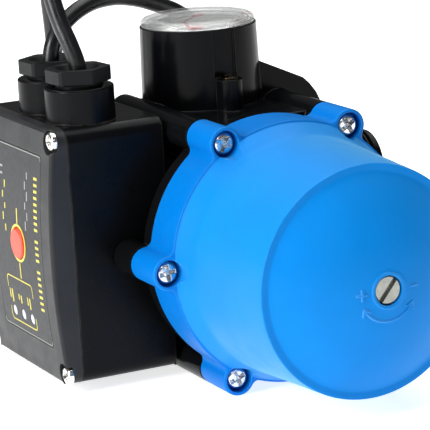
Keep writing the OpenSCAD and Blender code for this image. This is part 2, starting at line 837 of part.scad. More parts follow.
// Leads with their put-away coils
module coil_block(at) {
    translate([at[0], at[1], coil_base]) rotate_extrude($fn = 72)
        translate([coil_r, coil_section / 2])
        soft_rect(coil_section, coil_section, cord_d / 2 - 0.1);
}
module coil_tie(at, turn) {
    o = coil_section / 2 + coil_base - 0.02;
    translate([at[0], at[1], coil_base + coil_section / 2]) rotate(turn)
        translate([0, coil_r, 0]) difference() {
            cube([tie_w, 2 * o, 2 * o], center = true);
            cube([tie_w + 2, coil_section + 0.04, coil_section + 0.04], center = true);
        }
}
module lying(at) {
    translate(at) rotate([90, 0, 0]) children();
}
module supply_cord() {
    color("#151617") {
        sweep(supply_route, cord_d / 2, 8);
        sweep(supply_tail, cord_d / 2, 8);
    }
}
module supply_coil() {
    color("#151617") coil_block(supply_coil_at);
}
module supply_tie() {
    color("#e8e8e4") coil_tie(supply_coil_at, 90);
}
module supply_plug() {
    color("#1a1b1d") lying(plug_at) {
        cylinder(r1 = 5, r2 = 7.5, h = relief_len, $fn = 64);
        translate([0, 0, relief_len]) cylinder(r1 = 10, r2 = plug_r, h = 10);
        translate([0, 0, relief_len + 10]) cylinder(r = plug_r, h = plug_len - relief_len - 10);
    }
}
module supply_pins() {
    color("#c9ccd0") lying(plug_at) for (s = [-1, 1]) translate([s * pin_offset, 0, plug_len]) {
        cylinder(r = pin_r, h = pin_len, $fn = 32);
        translate([0, 0, pin_len]) cylinder(r1 = pin_r, r2 = pin_r - 1, h = 2, $fn = 32);
    }
}
module pump_cord() {
    color("#151617") {
        sweep(pump_route, cord_d / 2, 8);
        sweep(pump_tail, cord_d / 2, 8);
    }
}
module pump_coil() {
    color("#151617") coil_block(pump_coil_at);
}
module pump_tie() {
    color("#e8e8e4") coil_tie(pump_coil_at, 0);
}
module pump_socket() {
    color("#1a1b1d") lying(socket_at) difference() {
        union() {
            cylinder(r1 = 5, r2 = 7.5, h = relief_len, $fn = 64);
            translate([0, 0, relief_len]) cylinder(r1 = 11, r2 = socket_r, h = 8);
            translate([0, 0, relief_len + 8])
                cylinder(r = socket_r, h = socket_len - relief_len - 8);
        }
        translate([0, 0, plug_len]) cylinder(r = plug_r + 0.3, h = 20);
        for (s = [-1, 1]) translate([s * pin_offset, 0, 23])
            cylinder(r = pin_r + 0.2, h = 30, $fn = 32);
    }
}
module pump_contacts() {
    color("#c9a24a") lying(socket_at) for (s = [-1, 1])
        translate([-2, s * (plug_r - 0.4) - 0.75, plug_len + 0.5]) cube([4, 1.5, 14.5]);
}

main_body();
control_box();
box_fixing_screws();
box_lid();
lid_gasket();
lid_screws();
overlay_panel();
restart_button();
tact_switch();
circuit_board();
status_leds();
led_windows();
relay();
capacitor();
terminal_block();
flow_sensor();
gland_nuts();
gland_seals();
bonnet();
bonnet_screws();
adjusting_screw();
adjuster_seal();
spring_seat();
main_spring();
diaphragm();
diaphragm_plate();
diaphragm_washer();
diaphragm_nut();
valve_guide();
check_valve();
valve_magnet();
valve_spring();
valve_seal();
gauge_case();
gauge_stem();
gauge_dial();
gauge_pointer();
gauge_lens();
gauge_screw();
supply_cord();
supply_coil();
supply_tie();
supply_plug();
supply_pins();
pump_cord();
pump_coil();
pump_tie();
pump_socket();
pump_contacts();
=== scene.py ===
"""Looks for the automatic pump controller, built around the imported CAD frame.

Everything is in metres in the frame's own coordinates. Lists of points are written in
millimetres and scaled by MM, because part.scad is in millimetres too.
"""
import math

import bmesh
import bpy
from mathutils import Matrix, Vector


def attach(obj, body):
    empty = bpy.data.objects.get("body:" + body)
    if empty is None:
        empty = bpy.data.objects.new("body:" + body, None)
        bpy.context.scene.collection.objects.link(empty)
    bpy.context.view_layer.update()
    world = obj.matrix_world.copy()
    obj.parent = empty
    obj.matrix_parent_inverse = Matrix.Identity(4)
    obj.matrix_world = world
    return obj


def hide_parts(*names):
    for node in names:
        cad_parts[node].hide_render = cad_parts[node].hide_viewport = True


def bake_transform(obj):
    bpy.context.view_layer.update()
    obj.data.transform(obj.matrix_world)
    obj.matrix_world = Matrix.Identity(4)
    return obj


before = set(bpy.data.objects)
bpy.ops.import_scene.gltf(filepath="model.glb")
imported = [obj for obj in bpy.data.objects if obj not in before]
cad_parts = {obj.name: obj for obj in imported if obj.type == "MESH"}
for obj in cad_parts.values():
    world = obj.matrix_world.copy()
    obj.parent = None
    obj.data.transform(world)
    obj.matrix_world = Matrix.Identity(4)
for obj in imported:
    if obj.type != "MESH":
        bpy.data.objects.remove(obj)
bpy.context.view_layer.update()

MM = 0.001
AXIS = Vector((7, -7, 54.4314))          # foot of the bonnet axis on the joint face, in mm
# From a sketch frame, where h points up, to where it points on the object
FORWARD = Matrix(((1, 0, 0), (0, 0, -1), (0, 1, 0))).to_4x4()
BACKWARD = Matrix(((1, 0, 0), (0, 0, 1), (0, -1, 0))).to_4x4()
LEFTWARD = Matrix(((0, 0, -1), (-1, 0, 0), (0, 1, 0))).to_4x4()
ALONG_X = Matrix(((0, 0, 1), (0, 1, 0), (-1, 0, 0))).to_4x4()
FLANGE_FRONT = -0.0292                   # y of the flange's front face, in metres
SHEEN_TINT = (0.42, 0.95, 1.0, 1.0)
MATERIALS = {}                           # every finish by its name
scene = bpy.context.scene


# ---------------------------------------------------------------- camera
def make_camera():
    data = bpy.data.cameras.new("camera")
    camera = bpy.data.objects.new("camera", data)
    scene.collection.objects.link(camera)
    eye = (-0.43221, -0.88732, 0.29056)
    heading, pitch, roll = math.radians(25.652), math.radians(-12.903), math.radians(-3.252)
    turn = (
        Matrix.Rotation(-heading, 4, "Z")
        @ Matrix.Rotation(math.pi / 2 + pitch, 4, "X")
        @ Matrix.Rotation(roll, 4, "Z")
    )
    camera.matrix_world = Matrix.Translation(eye) @ turn
    data.sensor_width = 36
    data.lens = 208.69
    data.shift_x = -0.0365
    data.shift_y = 0.0074
    data.clip_start = 0.05
    data.clip_end = 30
    scene.camera = camera


# ---------------------------------------------------------------- node materials
def linear(code):
    """Linear RGBA of an sRGB colour written as rrggbb."""
    out = []
    for i in (0, 2, 4):
        c = int(code[i:i + 2], 16) / 255
        out.append(c / 12.92 if c <= 0.04045 else ((c + 0.055) / 1.055) ** 2.4)
    return (*out, 1.0)


def shade(code, factor):
    """Linear RGBA of a colour made lighter or darker."""
    return (*[min(1.0, c * factor) for c in linear(code)[:3]], 1.0)


class Nodes:
    """A material's node tree with short calls for what every finish here uses."""

    def __init__(self, name):
        material = MATERIALS[name] = bpy.data.materials.new(name)
        material.use_nodes = True
        tree = material.node_tree
        self.nodes, self.links = tree.nodes, tree.links
        self.nodes.clear()
        self.out = self.nodes.new("ShaderNodeOutputMaterial")
        self.shader = self.nodes.new("ShaderNodeBsdfPrincipled")
        self.links.new(self.shader.outputs[0], self.out.inputs[0])
        self.coords = self.nodes.new("ShaderNodeTexCoord")

    def put(self, socket, value):
        self.shader.inputs[socket].default_value = value

    def join(self, source, target):
        self.links.new(source, target)

    def noise(self, scale, detail=3, rough=0.55, stretch=None):
        """Noise from 0 to 1 in the frame's metres; scale is about its waves per metre."""
        n = self.nodes.new("ShaderNodeTexNoise")
        n.inputs["Scale"].default_value = scale
        n.inputs["Detail"].default_value = detail
        n.inputs["Roughness"].default_value = rough
        source = self.coords.outputs["Object"]
        if stretch:
            m = self.nodes.new("ShaderNodeMapping")
            m.inputs["Scale"].default_value = stretch
            self.join(source, m.inputs["Vector"])
            source = m.outputs[0]
        self.join(source, n.inputs["Vector"])
        return n.outputs["Fac"]

    def span(self, source, low, high, start=0.3, end=0.7):
        """source between start and end, as a number from low to high."""
        n = self.nodes.new("ShaderNodeMapRange")
        n.inputs["From Min"].default_value = start
        n.inputs["From Max"].default_value = end
        n.inputs["To Min"].default_value = low
        n.inputs["To Max"].default_value = high
        self.join(source, n.inputs["Value"])
        return n.outputs[0]

    def mix(self, factor, a, b):
        n = self.nodes.new("ShaderNodeMix")
        n.data_type = "RGBA"
        self.join(factor, n.inputs[0])
        for value, socket in ((a, n.inputs[6]), (b, n.inputs[7])):
            if isinstance(value, tuple):
                socket.default_value = value
            else:
                self.join(value, socket)
        return n.outputs[2]

    def edges(self, radius):
        """Mask that is 1 along edges, where a sampled bevel turns the normal away."""
        flat, worn = 1 - 0.004, 1 - 0.12         # cosines between the two normals
        bevel = self.nodes.new("ShaderNodeBevel")
        bevel.samples = 4
        bevel.inputs["Radius"].default_value = radius
        geometry = self.nodes.new("ShaderNodeNewGeometry")
        dot = self.nodes.new("ShaderNodeVectorMath")
        dot.operation = "DOT_PRODUCT"
        self.join(bevel.outputs[0], dot.inputs[0])
        self.join(geometry.outputs["Normal"], dot.inputs[1])
        return self.span(dot.outputs["Value"], 0.0, 1.0, flat, worn)

    def bump(self, source, strength, distance, after=None):
        n = self.nodes.new("ShaderNodeBump")
        n.inputs["Strength"].default_value = strength
        n.inputs["Distance"].default_value = distance
        self.join(source, n.inputs["Height"])
        if after is not None:
            self.join(after, n.inputs["Normal"])
        return n.outputs[0]


def moulded(name, color, rough, grain=0.25, grain_scale=1500, wear=None, wear_amount=0.5,
            tint=0.12, edge=0.0006, gloss=0.5, haze=0.0, flange=None):
    """Moulded plastic: mottled pigment, spark-eroded grain, uneven gloss, rubbed edges.

    haze is the dusty sheen of a worn face. flange is a darker blue painted on the same moulding,
    painted shade, without that sheen, for what lies behind FLANGE_FRONT.
    """
    n = Nodes(name)
    patches = n.span(n.noise(45, 4), 0, 1)
    base = n.mix(patches, shade(color, 1 - tint), shade(color, 1 + tint))
    if flange:
        place = n.nodes.new("ShaderNodeSeparateXYZ")
        n.join(n.coords.outputs["Object"], place.inputs[0])
        fade = 0.0004
        behind = n.span(place.outputs["Y"], 0, 1, FLANGE_FRONT - fade, FLANGE_FRONT + fade)
        # Painted shade: the flange's side gets a darker blue than the rest of the one moulding.
        base = n.mix(behind, base, linear(flange))
        n.join(n.span(behind, haze, 0, 0, 1), n.shader.inputs["Sheen Weight"])
    specks = n.span(n.noise(900, 2), 0, 0.35, 0.58, 0.75)
    base = n.mix(specks, base, shade(color, 1 + 2.5 * tint))
    if wear:
        rubbed = n.nodes.new("ShaderNodeMath")
        rubbed.operation = "MULTIPLY"
        n.join(n.edges(edge), rubbed.inputs[0])
        n.join(n.span(n.noise(160, 4), 0.15 * wear_amount, wear_amount, 0.35, 0.65),
               rubbed.inputs[1])
        base = n.mix(rubbed.outputs[0], base, linear(wear))
    n.join(base, n.shader.inputs["Base Color"])
    n.join(n.span(n.noise(120, 5), rough * 0.85, rough * 1.2), n.shader.inputs["Roughness"])
    fine = n.bump(n.noise(grain_scale, 3, 0.6), grain, 0.00006)
    n.join(n.bump(n.noise(70, 2), 0.10, 0.0004, fine), n.shader.inputs["Normal"])
    n.put("Specular IOR Level", gloss)
    if not flange:
        n.put("Sheen Weight", haze)
    n.put("Sheen Roughness", 0.4)
    n.put("Sheen Tint", SHEEN_TINT)


def metal(name, color, rough, brushed=(1, 1, 12), tint=0.18, stain=None):
    """Plated or machined metal: fine scratches, cloudy plating, darker stains."""
    n = Nodes(name)
    cloud = n.span(n.noise(220, 5), 0, 1)
    base = n.mix(cloud, shade(color, 1 - tint), shade(color, 1 + tint))
    if stain:
        base = n.mix(n.span(n.noise(90, 6, 0.7), 0, 0.7, 0.55, 0.75), base, linear(stain))
    n.join(base, n.shader.inputs["Base Color"])
    n.put("Metallic", 1.0)
    n.join(n.span(n.noise(500, 4), rough * 0.7, rough * 1.4), n.shader.inputs["Roughness"])
    scratches = n.noise(700, 3, 0.6, brushed)
    n.join(n.bump(scratches, 0.25, 0.00004), n.shader.inputs["Normal"])


def rubber(name, color, rough):
    n = Nodes(name)
    base = n.mix(n.span(n.noise(80, 5), 0, 1), shade(color, 0.8), shade(color, 1.3))
    n.join(base, n.shader.inputs["Base Color"])
    n.join(n.span(n.noise(250, 4), rough * 0.85, rough * 1.2), n.shader.inputs["Roughness"])
    n.join(n.bump(n.noise(1300, 4), 0.35, 0.00005), n.shader.inputs["Normal"])
    n.put("Specular IOR Level", 0.45)


def sheathed(name, color):
    """PVC cord sheath: glossy, with the slow ripple that the cores inside leave."""
    n = Nodes(name)
    base = n.mix(n.span(n.noise(60, 4), 0, 1), shade(color, 0.8), shade(color, 1.35))
    n.join(base, n.shader.inputs["Base Color"])
    n.join(n.span(n.noise(180, 4), 0.24, 0.42), n.shader.inputs["Roughness"])
    fine = n.bump(n.noise(1400, 3), 0.18, 0.00004)
    n.join(n.bump(n.noise(95, 2, 0.4), 0.35, 0.0006, fine), n.shader.inputs["Normal"])
    n.put("Specular IOR Level", 0.5)


def clear(name, tint, rough):
    """Clear moulding: fine haze and a slight flow ripple."""
    n = Nodes(name)
    base = n.mix(n.span(n.noise(60, 3), 0, 1), shade(tint, 0.985), linear(tint))
    n.join(base, n.shader.inputs["Base Color"])
    n.join(n.span(n.noise(300, 4), rough * 0.6, rough * 1.6), n.shader.inputs["Roughness"])
    n.join(n.bump(n.noise(110, 2), 0.06, 0.0003), n.shader.inputs["Normal"])
    n.put("Transmission Weight", 1.0)
    n.put("Alpha", 0.5)
    n.put("IOR", 1.49)


def printed(name, color, fade, rough=0.45, gloss=0.5):
    """Screen-printed ink or foil: slightly broken cover over a fine dot."""
    n = Nodes(name)
    base = n.mix(n.span(n.noise(350, 4), 0, 0.55, 0.45, 0.8), linear(color), linear(fade))
    n.join(base, n.shader.inputs["Base Color"])
    n.join(n.span(n.noise(500, 3), rough * 0.85, rough * 1.2), n.shader.inputs["Roughness"])
    n.join(n.bump(n.noise(2200, 2), 0.15, 0.00003), n.shader.inputs["Normal"])
    n.put("Specular IOR Level", gloss)


def floor_paper():
    n = Nodes("floor_paper")
    base = n.mix(n.span(n.noise(3, 3), 0, 1), (0.78, 0.78, 0.78, 1), (0.82, 0.82, 0.82, 1))
    n.join(base, n.shader.inputs["Base Color"])
    n.put("Roughness", 0.9)
    n.put("Emission Color", (1, 1, 1, 1))
    n.put("Emission Strength", 0.75)
    n.join(n.bump(n.noise(500, 3), 0.05, 0.0001), n.shader.inputs["Normal"])
    n.put("Specular IOR Level", 0.1)


def make_materials():
    """Colours are written as rrggbb."""
    # flange 0070c4 is painted shade: a darker blue on the flange's side of the same moulding.
    moulded("blue_moulding", "007fd4", rough=0.42, grain=0.3, gloss=0.1, haze=0.34,
            flange="0070c4", wear="7fc4ff", wear_amount=0.35, tint=0.04, edge=0.0005)
    moulded("black_moulding", "0b0c0e", rough=0.2, grain=0.2, gloss=0.09, wear="4a4640",
            wear_amount=0.45, tint=0.15)
    moulded("box_moulding", "0b0c0e", rough=0.28, grain=0.4, grain_scale=1100, gloss=0.1,
            wear="575149", wear_amount=0.6, tint=0.15, edge=0.001)
    # The lid's base is a lighter grey than the box's: painted light for the grey look that grazing
    # light gives its face. The lid itself is as dark as the box.
    moulded("lid_moulding", "2b2c2e", rough=0.36, grain=0.5, grain_scale=1100, gloss=0.18,
            wear="5d5850", wear_amount=0.6, tint=0.15, edge=0.001)
    moulded("gland_black", "121315", rough=0.4, grain=0.4, gloss=0.14, wear="3b3a38",
            wear_amount=0.5, tint=0.2)
    moulded("switch_black", "151515", rough=0.5)
    moulded("plug_black", "131416", rough=0.45, grain=0.5, wear="3a3a3a", wear_amount=0.4,
            tint=0.2)
    printed("overlay", "333436", "3d3e40", rough=0.32, gloss=0.1)
    printed("ink_yellow", "d6ca50", "a89d40")
    printed("ink_grey", "9a9a96", "77777a")
    moulded("button_red", "f0482c", rough=0.35, grain=0.2, tint=0.06, wear="ffa58e",
            wear_amount=0.4)
    moulded("window_clear", "b9bcc4", rough=0.2, grain=0.1, tint=0.05)
    moulded("led_resin", "d9dccb", rough=0.2, grain=0.1, tint=0.05)
    moulded("board_green", "1f5a33", rough=0.35, grain=0.3, wear="9a8f55", tint=0.2)
    moulded("relay_blue", "1f5f9f", rough=0.35, tint=0.1)
    moulded("capacitor_yellow", "d2a92f", rough=0.4, tint=0.1)
    moulded("terminal_green", "2f7f45", rough=0.45, tint=0.12)
    rubber("rubber_black", "161617", 0.6)
    metal("zinc_steel", "eeedea", 0.18, tint=0.1, stain="77726a")
    metal("spring_steel", "8d9196", 0.35, stain="4f4c48")
    metal("nickel_brass", "93958f", 0.22, (1, 1, 1), stain="7f8078")
    metal("aged_brass", "3a3227", 0.2, stain="1c1813")
    metal("brass", "c9a24a", 0.3, stain="7c6230")
    metal("magnet", "6e7175", 0.4, (1, 1, 1), stain="3c3d3f")
    moulded("natural_acetal", "dad9d0", rough=0.45, tint=0.05)
    printed("dial_white", "f6f6f3", "ebebe6", 0.5)
    printed("dial_black", "141414", "222222", 0.5)
    printed("pointer_red", "c91d15", "a81a12", 0.4)
    clear("lens_clear", "f7f9fa", 0.03)
    sheathed("cord_black", "0f1012")
    moulded("tie_white", "e6e6e0", rough=0.4, tint=0.04)


# ---------------------------------------------------------------- mesh helpers
def new_object(name, bm, material):
    """A linked object made of bm, which is freed."""
    mesh = bpy.data.meshes.new(name)
    bm.to_mesh(mesh)
    bm.free()
    made = bpy.data.objects.new(name, mesh)
    scene.collection.objects.link(made)
    mesh.materials.append(material)
    return made


def keep(name, bm, finish, body="housing", stands_for=()):
    """A new piece from a bmesh in the frame's metres."""
    piece = new_object(name, bm, MATERIALS[finish])
    settle(piece, body, stands_for)
    return piece


def settle(piece, body, stands_for=()):
    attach(piece, body)
    if stands_for:
        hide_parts(*stands_for)


def smooth(mesh, angle=40):
    """Smooth shading, kept sharp where faces meet at more than angle degrees."""
    bm = bmesh.new()
    bm.from_mesh(mesh)
    for face in bm.faces:
        face.smooth = True
    limit = math.radians(angle)
    for edge in bm.edges:
        edge.smooth = not (edge.is_manifold and edge.calc_face_angle(0) > limit)
    bm.to_mesh(mesh)
    bm.free()


def round_edges(piece, width, segments, angle, by_weight=False):
    """Rolls every sharp edge, then evens the shading of the flats."""
    bevel = piece.modifiers.new("rolled_edges", "BEVEL")
    bevel.width = width
    bevel.segments = segments
    bevel.limit_method = "WEIGHT" if by_weight else "ANGLE"
    bevel.angle_limit = math.radians(angle)
    bevel.use_clamp_overlap = False
    bevel.loop_slide = True
    normals = piece.modifiers.new("even_normals", "WEIGHTED_NORMAL")
    normals.keep_sharp = True


def baked(piece):
    """The piece's mesh with its modifiers applied."""
    bpy.context.view_layer.update()
    graph = bpy.context.evaluated_depsgraph_get()
    return bpy.data.meshes.new_from_object(piece.evaluated_get(graph))


def refined(node, finish, width, body="housing", widths=None, angle=32, segments=2,
            change=None):
    """Copy of a CAD node with rolled edges. widths gives one edge's own width by its middle."""
    same_point, same_flat, limit = 2e-6, math.radians(0.4), math.radians(angle)
    bm = bmesh.new()
    bm.from_mesh(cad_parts[node].data)
    bmesh.ops.remove_doubles(bm, verts=bm.verts, dist=same_point)
    bmesh.ops.dissolve_limit(bm, angle_limit=same_flat, verts=bm.verts, edges=bm.edges)
    if change:
        change(bm)
    if widths:
        layer = bm.edges.layers.float.new("bevel_weight_edge")
        for edge in bm.edges:
            if edge.is_manifold and edge.calc_face_angle(0) > limit:
                middle = (edge.verts[0].co + edge.verts[1].co) / 2 / MM - AXIS
                edge[layer] = widths(middle) * MM / width
    piece = keep(node + "_finished", bm, finish, body, (node,))
    smooth(piece.data)
    round_edges(piece, width, segments, angle, by_weight=bool(widths))
    return piece


def polar(r, a):
    """(u, v) at radius r and angle a."""
    return r * math.cos(a), r * math.sin(a)


def lathe(profile, steps):
    """Mesh of revolution about h from (r, h) pairs in mm that start and end on the axis."""
    bm = bmesh.new()
    rings = []
    for r, h in profile:
        count = 1 if r < 1e-6 else steps
        rings.append([bm.verts.new((*polar(r, 2 * math.pi * k / steps), h)) for k in range(count)])
    for a, b in zip(rings, rings[1:]):
        for k in range(steps):
            j = (k + 1) % steps
            corners = [a[k % len(a)], a[j % len(a)], b[j % len(b)], b[k % len(b)]]
            unique = list(dict.fromkeys(corners))
            if len(unique) > 2:
                bm.faces.new(unique)
    bmesh.ops.recalc_face_normals(bm, faces=bm.faces)
    return bm


def rod(r, low, high, steps):
    """Cylinder about h, in mm."""
    return lathe([(0, low), (r, low), (r, high), (0, high)], steps)


def ring_grid(rings, closed=False):
    """Mesh through rings of equal length, which closes on itself or ends in two caps."""
    bm = bmesh.new()
    rows = [[bm.verts.new(p) for p in ring] for ring in rings]
    pairs = list(zip(rows, rows[1:])) + ([(rows[-1], rows[0])] if closed else [])
    for a, b in pairs:
        for k in range(len(a)):
            j = (k + 1) % len(a)
            bm.faces.new((a[k], a[j], b[j], b[k]))
    if not closed:
        bm.faces.new(rows[0])
        bm.faces.new(list(reversed(rows[-1])))
    bmesh.ops.recalc_face_normals(bm, faces=bm.faces)
    return bm


def prism(outline, low, high):
    """Straight prism over a closed outline of (u, v) points, in mm."""
    return ring_grid([[(u, v, h) for u, v in outline] for h in (low, high)])


def rounded_rect(half_u, half_v, corner, steps):
    """Rectangle with round corners about the origin, as (u, v) points."""
    out = []
    for su, sv, start in ((1, 1, 0), (-1, 1, 90), (-1, -1, 180), (1, -1, 270)):
        for k in range(steps + 1):
            u, v = polar(corner, math.radians(start + 90 * k / steps))
            out.append((su * (half_u - corner) + u, sv * (half_v - corner) + v))
    return out


def placed(bm, turn, at):
    """From a sketch frame in mm to the frame's metres; at is in mm."""
    return moved(bm, Matrix.Scale(MM, 4) @ Matrix.Translation(at) @ turn)


def merged(*parts):
    """One bmesh with copies of all parts, which are freed."""
    out = bmesh.new()
    for part in parts:
        mesh = bpy.data.meshes.new("part")
        part.to_mesh(mesh)
        part.free()
        out.from_mesh(mesh)
        bpy.data.meshes.remove(mesh)
    return out


def carved(bm, *cutters):
    """bm with the cutters taken away by an exact boolean; all in mm."""
    objects = []
    for i, part in enumerate((bm, *cutters)):
        mesh = bpy.data.meshes.new("tmp")
        part.to_mesh(mesh)
        part.free()
        o = bpy.data.objects.new("tmp%d" % i, mesh)
        scene.collection.objects.link(o)
        objects.append(o)
    for cutter in objects[1:]:
        m = objects[0].modifiers.new("cut", "BOOLEAN")
        m.operation = "DIFFERENCE"
        m.solver = "EXACT"
        m.object = cutter
    mesh = baked(objects[0])
    out = bmesh.new()
    out.from_mesh(mesh)
    for o in objects:
        bpy.data.objects.remove(o)
    bpy.data.meshes.remove(mesh)
    bmesh.ops.remove_doubles(out, verts=out.verts, dist=1e-4)
    return out


def moved(bm, matrix):
    bmesh.ops.transform(bm, matrix=matrix, verts=bm.verts)
    return bm


def copies(bm, matrices):
    """One bmesh with a copy of bm at each matrix; bm is freed."""
    out = merged(*[moved(bm.copy(), matrix) for matrix in matrices])
    bm.free()
    return out


# ---------------------------------------------------------------- leads
CORD_D = 7
LAY_Z = 3.6                              # middle of a lead that lies on the surface
SUPPLY_COIL = (5, 158)
PUMP_COIL = (100, 59.5)
SUPPLY_ROUTE = [
    (-56.4, 29, 124), (-56.4, 29, 130), (-58, 31, 138), (-60, 35, 147),
    (-61.4, 38.8, 157.5), (-62, 42.8, 169.5), (-61, 49.6, 181.5), (-57.8, 60, 189),
    (-53, 72.5, 191.4), (-48, 85, 188.2), (-43.5, 94.8, 179), (-40, 100, 166),
    (-37.6, 102, 147), (-36, 103.5, 124), (-35.5, 104.5, 94), (-35.5, 105, 64),
    (-35.7, 106, 42), (-36.4, 110, 25), (-37.2, 119, 11.8), (-38, 132, 5),
    (-38.5, 145, LAY_Z),
]
SUPPLY_TAIL = [
    (18, 201.5, 10.4), (29, 201.4, 8.2), (38, 201.4, 6), (47, 200.8, 5.4), (56, 198, 6.6),
    (64, 192.6, 9.4), (70.2, 185.4, 13), (73.8, 177.4, 16.2), (75, 169, 18.5),
]
PUMP_ROUTE = [
    (-56.4, 57.8, 124), (-56.1, 57.8, 130), (-54.3, 58.2, 136), (-50.5, 59, 141.3),
    (-44.8, 60.7, 145.6), (-37, 63.3, 148.8), (-26.5, 67.2, 150.2), (-13, 73, 148.6),
    (1, 78, 144), (15, 83, 137.5), (27, 88, 127.5), (37, 93, 114.5), (43.5, 97, 98.5),
    (46.7, 100, 80), (48, 102, 62), (49.2, 103, 47), (52.2, 103, 33), (57.5, 103, 20.5),
    (66, 103, 10.5), (77, 103, 5.2), (89, 103, LAY_Z),
]
PUMP_TAIL = [
    (143.5, 46.5, 10.4), (143.5, 35.5, 8.2), (143.1, 25.5, 5.6), (142.2, 17, 4.9),
    (140.7, 8, 6.2), (138.9, -1, 9.6), (137.2, -10, 13.8), (135.9, -19, 17.4),
    (135.2, -28, 19.5), (135, -36, 20),
]
PLUG_AT, SOCKET_AT = SUPPLY_TAIL[-1], PUMP_TAIL[-1]


def coil_points(centre, entry, turns=3.25, per_turn=20):
    """Turns that lie beside and on each other, wound clockwise from the angle of entry.

    Each turn crosses to its neighbour's place in its last quarter. The second one swings
    inwards there, to pass the first on its way up.
    """
    outer, inner, low, high = 43.5, 36.5, LAY_Z, LAY_Z + CORD_D
    swing, swing_at, swing_half = 3.2, 1.92, 0.3
    plan = [(outer, inner, low, low), (inner, inner, low, high), (inner, outer, high, high),
            (outer, outer, high, high)]
    points = []
    for i in range(int(turns * per_turn) + 1):
        along = i / per_turn
        turn, part = divmod(along, 1)
        r0, r1, z0, z1 = plan[int(turn)]
        t = max(0.0, part * 4 - 3)
        t = t * t * (3 - 2 * t)
        off = min(1.0, abs(along - swing_at) / swing_half)
        r = r0 + (r1 - r0) * t - swing * math.cos(off * math.pi / 2) ** 2
        a = math.radians(entry) - 2 * math.pi * part
        u, v = polar(r, a)
        points.append((centre[0] + u, centre[1] + v, z0 + (z1 - z0) * t))
    return points


def make_cord(name, route, coil, entry, tail, node_names):
    """Round lead through the route, the coil entered at that angle, and the tail."""
    points = route + coil_points(coil, entry) + tail
    curve = bpy.data.curves.new(name, "CURVE")
    curve.dimensions = "3D"
    curve.bevel_depth = CORD_D / 2 * MM
    curve.bevel_resolution = 5
    curve.resolution_u = 6
    curve.use_fill_caps = True
    spline = curve.splines.new("BEZIER")
    spline.bezier_points.add(len(points) - 1)
    for knot, p in zip(spline.bezier_points, points):
        knot.co = Vector(p) * MM
        knot.handle_left_type = knot.handle_right_type = "AUTO"
    cord = bpy.data.objects.new(name, curve)
    scene.collection.objects.link(cord)
    curve.materials.append(MATERIALS["cord_black"])
    settle(cord, "housing", stands_for=node_names)
    return cord


TIE_HALF, TIE_CORNER = 7.6, 3.4          # half the strap's loop, and its corner radius
# Section of the strap: across it, and outwards from its loop
STRAP = ((-2.3, -0.35), (-2.3, 0.1), (-1.9, 0.35), (1.9, 0.35), (2.3, 0.1), (2.3, -0.35))
TIE_R, TIE_Z = 40, 7.8                   # middle of the coil's turns


def make_ties():
    """Cable tie round each coil where its lead comes in, with the ratchet head on top."""
    ties = {}
    for side, coil, turn in (("supply", SUPPLY_COIL, 90), ("pump", PUMP_COIL, 0)):
        loop = rounded_rect(TIE_HALF, TIE_HALF, TIE_CORNER, 8)
        strap = ring_grid([
            [(w, u * (1 + out / TIE_HALF), v * (1 + out / TIE_HALF)) for u, v in loop]
            for w, out in STRAP
        ], closed=True)
        head = prism([(-2.5, -3.2), (2.5, -3.2), (2.5, 3.2), (-2.5, 3.2)], 7.2, 8.2)
        at = Matrix.Rotation(math.radians(turn), 4, "Z") @ Matrix.Translation((0, TIE_R, 0))
        both = placed(merged(strap, head), at, (*coil, TIE_Z))
        piece = keep(side + "_tie_strap", both, "tie_white", stands_for=(side + "_tie",))
        smooth(piece.data)
        ties[side] = piece
    return ties


RELIEF_LENGTH = 16
RELIEF_LOW_R, RELIEF_HIGH_R, RELIEF_RIBS = 5, 7.5, 5
PLUG_R, SOCKET_R = 18.5, 20
PIN_OFFSET = 9.5


def relief():
    """Tapered strain relief with open ribs, as (r, h) pairs."""
    out = [(0, 0), (CORD_D / 2 + 0.1, 0.0), (RELIEF_LOW_R - 0.5, 0.0), (RELIEF_LOW_R, 0.5)]
    pitch = (RELIEF_LENGTH - 2) / RELIEF_RIBS
    for i in range(RELIEF_RIBS):
        h = 1.5 + i * pitch
        r = RELIEF_LOW_R + (RELIEF_HIGH_R - RELIEF_LOW_R) * h / RELIEF_LENGTH
        out += [(r, h), (r - 1.1, h + 0.25), (r - 1.1, h + pitch * 0.4), (r + 0.1, h + pitch * 0.5)]
    out.append((RELIEF_HIGH_R, RELIEF_LENGTH))
    return out


def flare(r, h, wider, higher, steps=8):
    """Quarter of an ellipse that opens from (r, h), as (r, h) pairs."""
    turns = [t * math.pi / 2 / steps for t in range(1, steps + 1)]
    return [(r + wider * math.sin(a), h + higher * (1 - math.cos(a))) for a in turns]


def make_plug():
    """Round earthed plug: ribbed relief, flared grip with finger ridges, flat face."""
    profile = relief() + [(9.6, 16), (10.4, 16.5)] + flare(10.4, 16.5, PLUG_R - 10.4, 9.2)
    for i in range(5):
        h = 27 + i * 2.2
        profile += [(PLUG_R, h), (17.8, h + 0.4), (17.8, h + 1.0), (PLUG_R, h + 1.4)]
    profile += [(PLUG_R, 41.2), (18.2, 41.8), (17.6, 42), (14.6, 42), (14.4, 40.6), (0, 40.6)]
    bm = placed(lathe(profile, 72), FORWARD, PLUG_AT)
    piece = keep("supply_plug_shell", bm, "plug_black", stands_for=("supply_plug",))
    smooth(piece.data, 35)
    return piece


